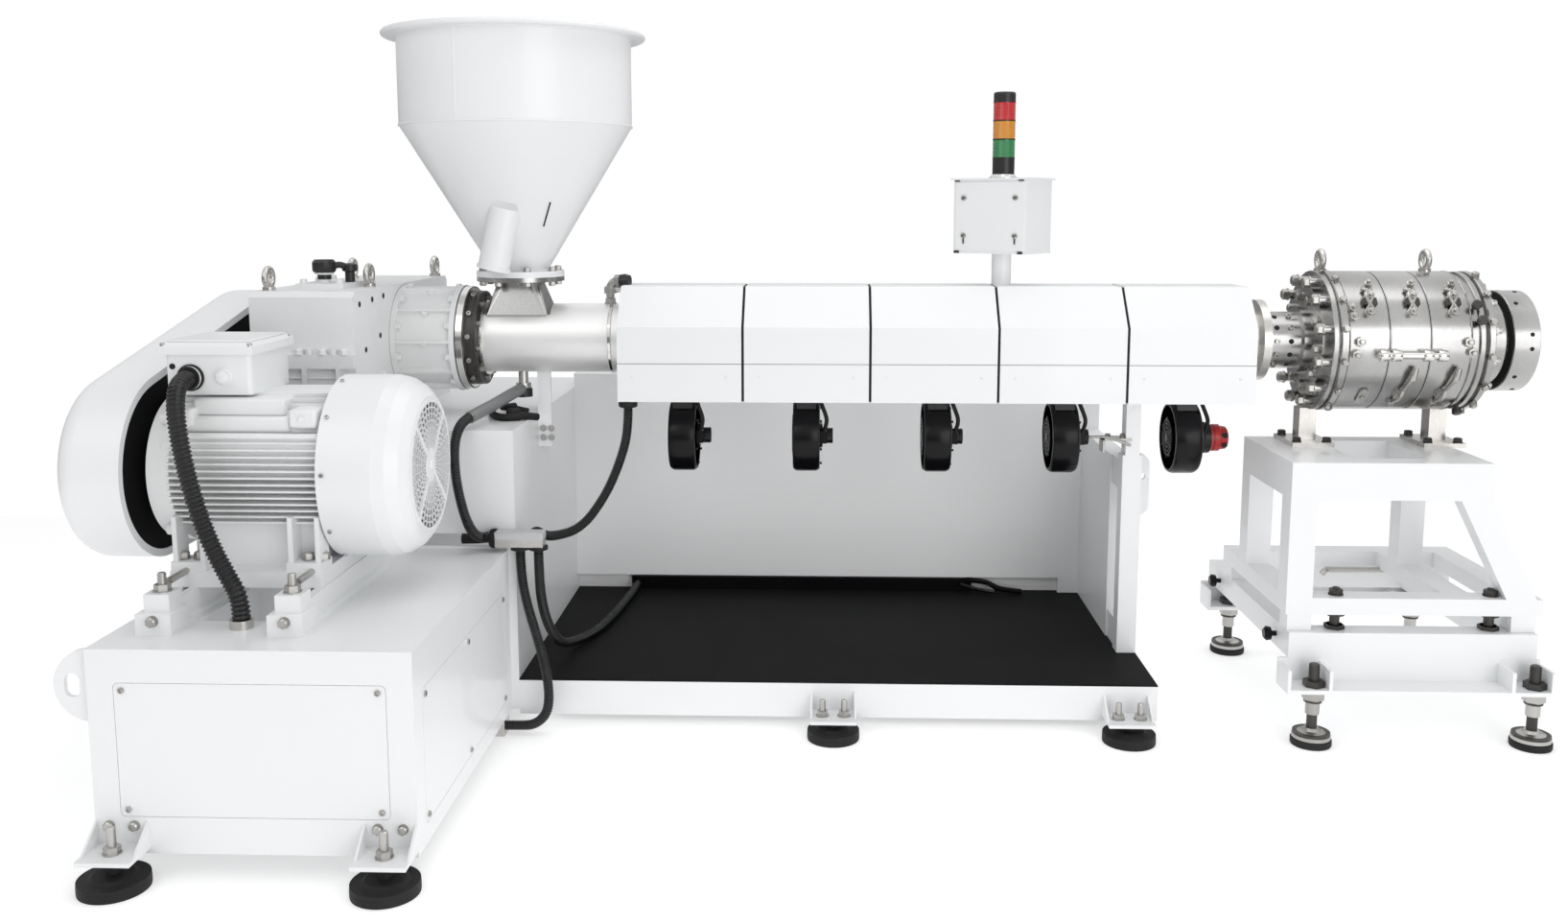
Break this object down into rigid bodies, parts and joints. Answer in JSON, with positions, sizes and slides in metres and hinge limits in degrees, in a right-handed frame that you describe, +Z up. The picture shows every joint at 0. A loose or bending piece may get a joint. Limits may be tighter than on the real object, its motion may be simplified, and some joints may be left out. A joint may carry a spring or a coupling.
{
  "type": "plastic extruder",
  "caption": "Plastic extruder with belt-guarded motor drive, gearbox, feed hopper, covered barrel with cooling blowers, and an annular die on its own trolley.",
  "frame": {"origin": "centre of the footprint, on the floor", "axes": "+X from the belt guard to the die along the barrel, +Y away from the operator, +Z up"},
  "size_m": [4.042, 2.3238, 2.09],
  "materials": {
    "white_paint": "semi-gloss",
    "black_paint": "satin",
    "machined_steel": "machined",
    "dark_steel": "oiled",
    "black_rubber": "matt",
    "black_plastic": "matt",
    "red_plastic": "gloss",
    "lens_green": "gloss",
    "lens_amber": "gloss",
    "lens_red": "gloss",
    "black_conduit": "ribbed"
  },
  "bodies": {
    "root": {"drive_base_front_wall": "white_paint", "drive_base_side_walls": "white_paint", "base_access_panels": "white_paint", "drive_base_top_plate": "white_paint", "lifting_lugs": "white_paint", "foot_brackets": "white_paint", "foot_pads": "black_rubber", "motor_rails": "white_paint", "motor_body": "white_paint", "motor_end_shield": "white_paint", "motor_fan_cowl": "white_paint", "motor_fan_grille": "white_paint", "motor_terminal_box": "white_paint", "belt_guard_cover": "white_paint", "belt_guard_back_plate": "black_paint", "gearbox_pedestal": "white_paint", "gearbox_lower_case": "white_paint", "gearbox_upper_case": "white_paint", "lifting_eyebolts": "machined_steel", "thrust_housing": "white_paint", "feed_flange": "machined_steel", "feed_section": "machined_steel", "throat_adapter": "machined_steel", "hopper_cone": "white_paint", "hopper_wall": "white_paint", "hopper_drain_chute": "white_paint", "hose_fittings": "machined_steel", "motor_conduit": "black_conduit", "feed_conduit": "black_conduit", "cover_conduit": "black_conduit", "floor_conduit": "black_conduit", "cabinet_conduit": "black_conduit", "feed_support_bracket": "white_paint", "barrel_tube": "machined_steel", "upper_barrel_covers": "white_paint", "lower_barrel_covers": "white_paint", "blower_housings": "black_plastic", "blower_red_cap": "red_plastic", "bed_long_beams": "white_paint", "bed_cross_beams": "white_paint", "bed_top_plate": "black_paint", "rear_cabinet": "white_paint", "end_frame_posts": "white_paint", "end_frame_rails": "white_paint", "signal_post": "white_paint", "signal_light_body": "black_plastic", "signal_lens_green": "lens_green", "signal_lens_amber": "lens_amber", "signal_lens_red": "lens_red", "die_adapter": "machined_steel", "die_flanges": "machined_steel", "die_body": "machined_steel", "die_nose_core": "machined_steel", "die_nose_ring": "machined_steel", "die_support_legs": "machined_steel", "trolley_long_beams": "white_paint", "trolley_cross_beams": "white_paint", "trolley_legs": "white_paint", "trolley_foot_channels": "white_paint", "trolley_feet": "dark_steel"}
  },
  "joints": []
}
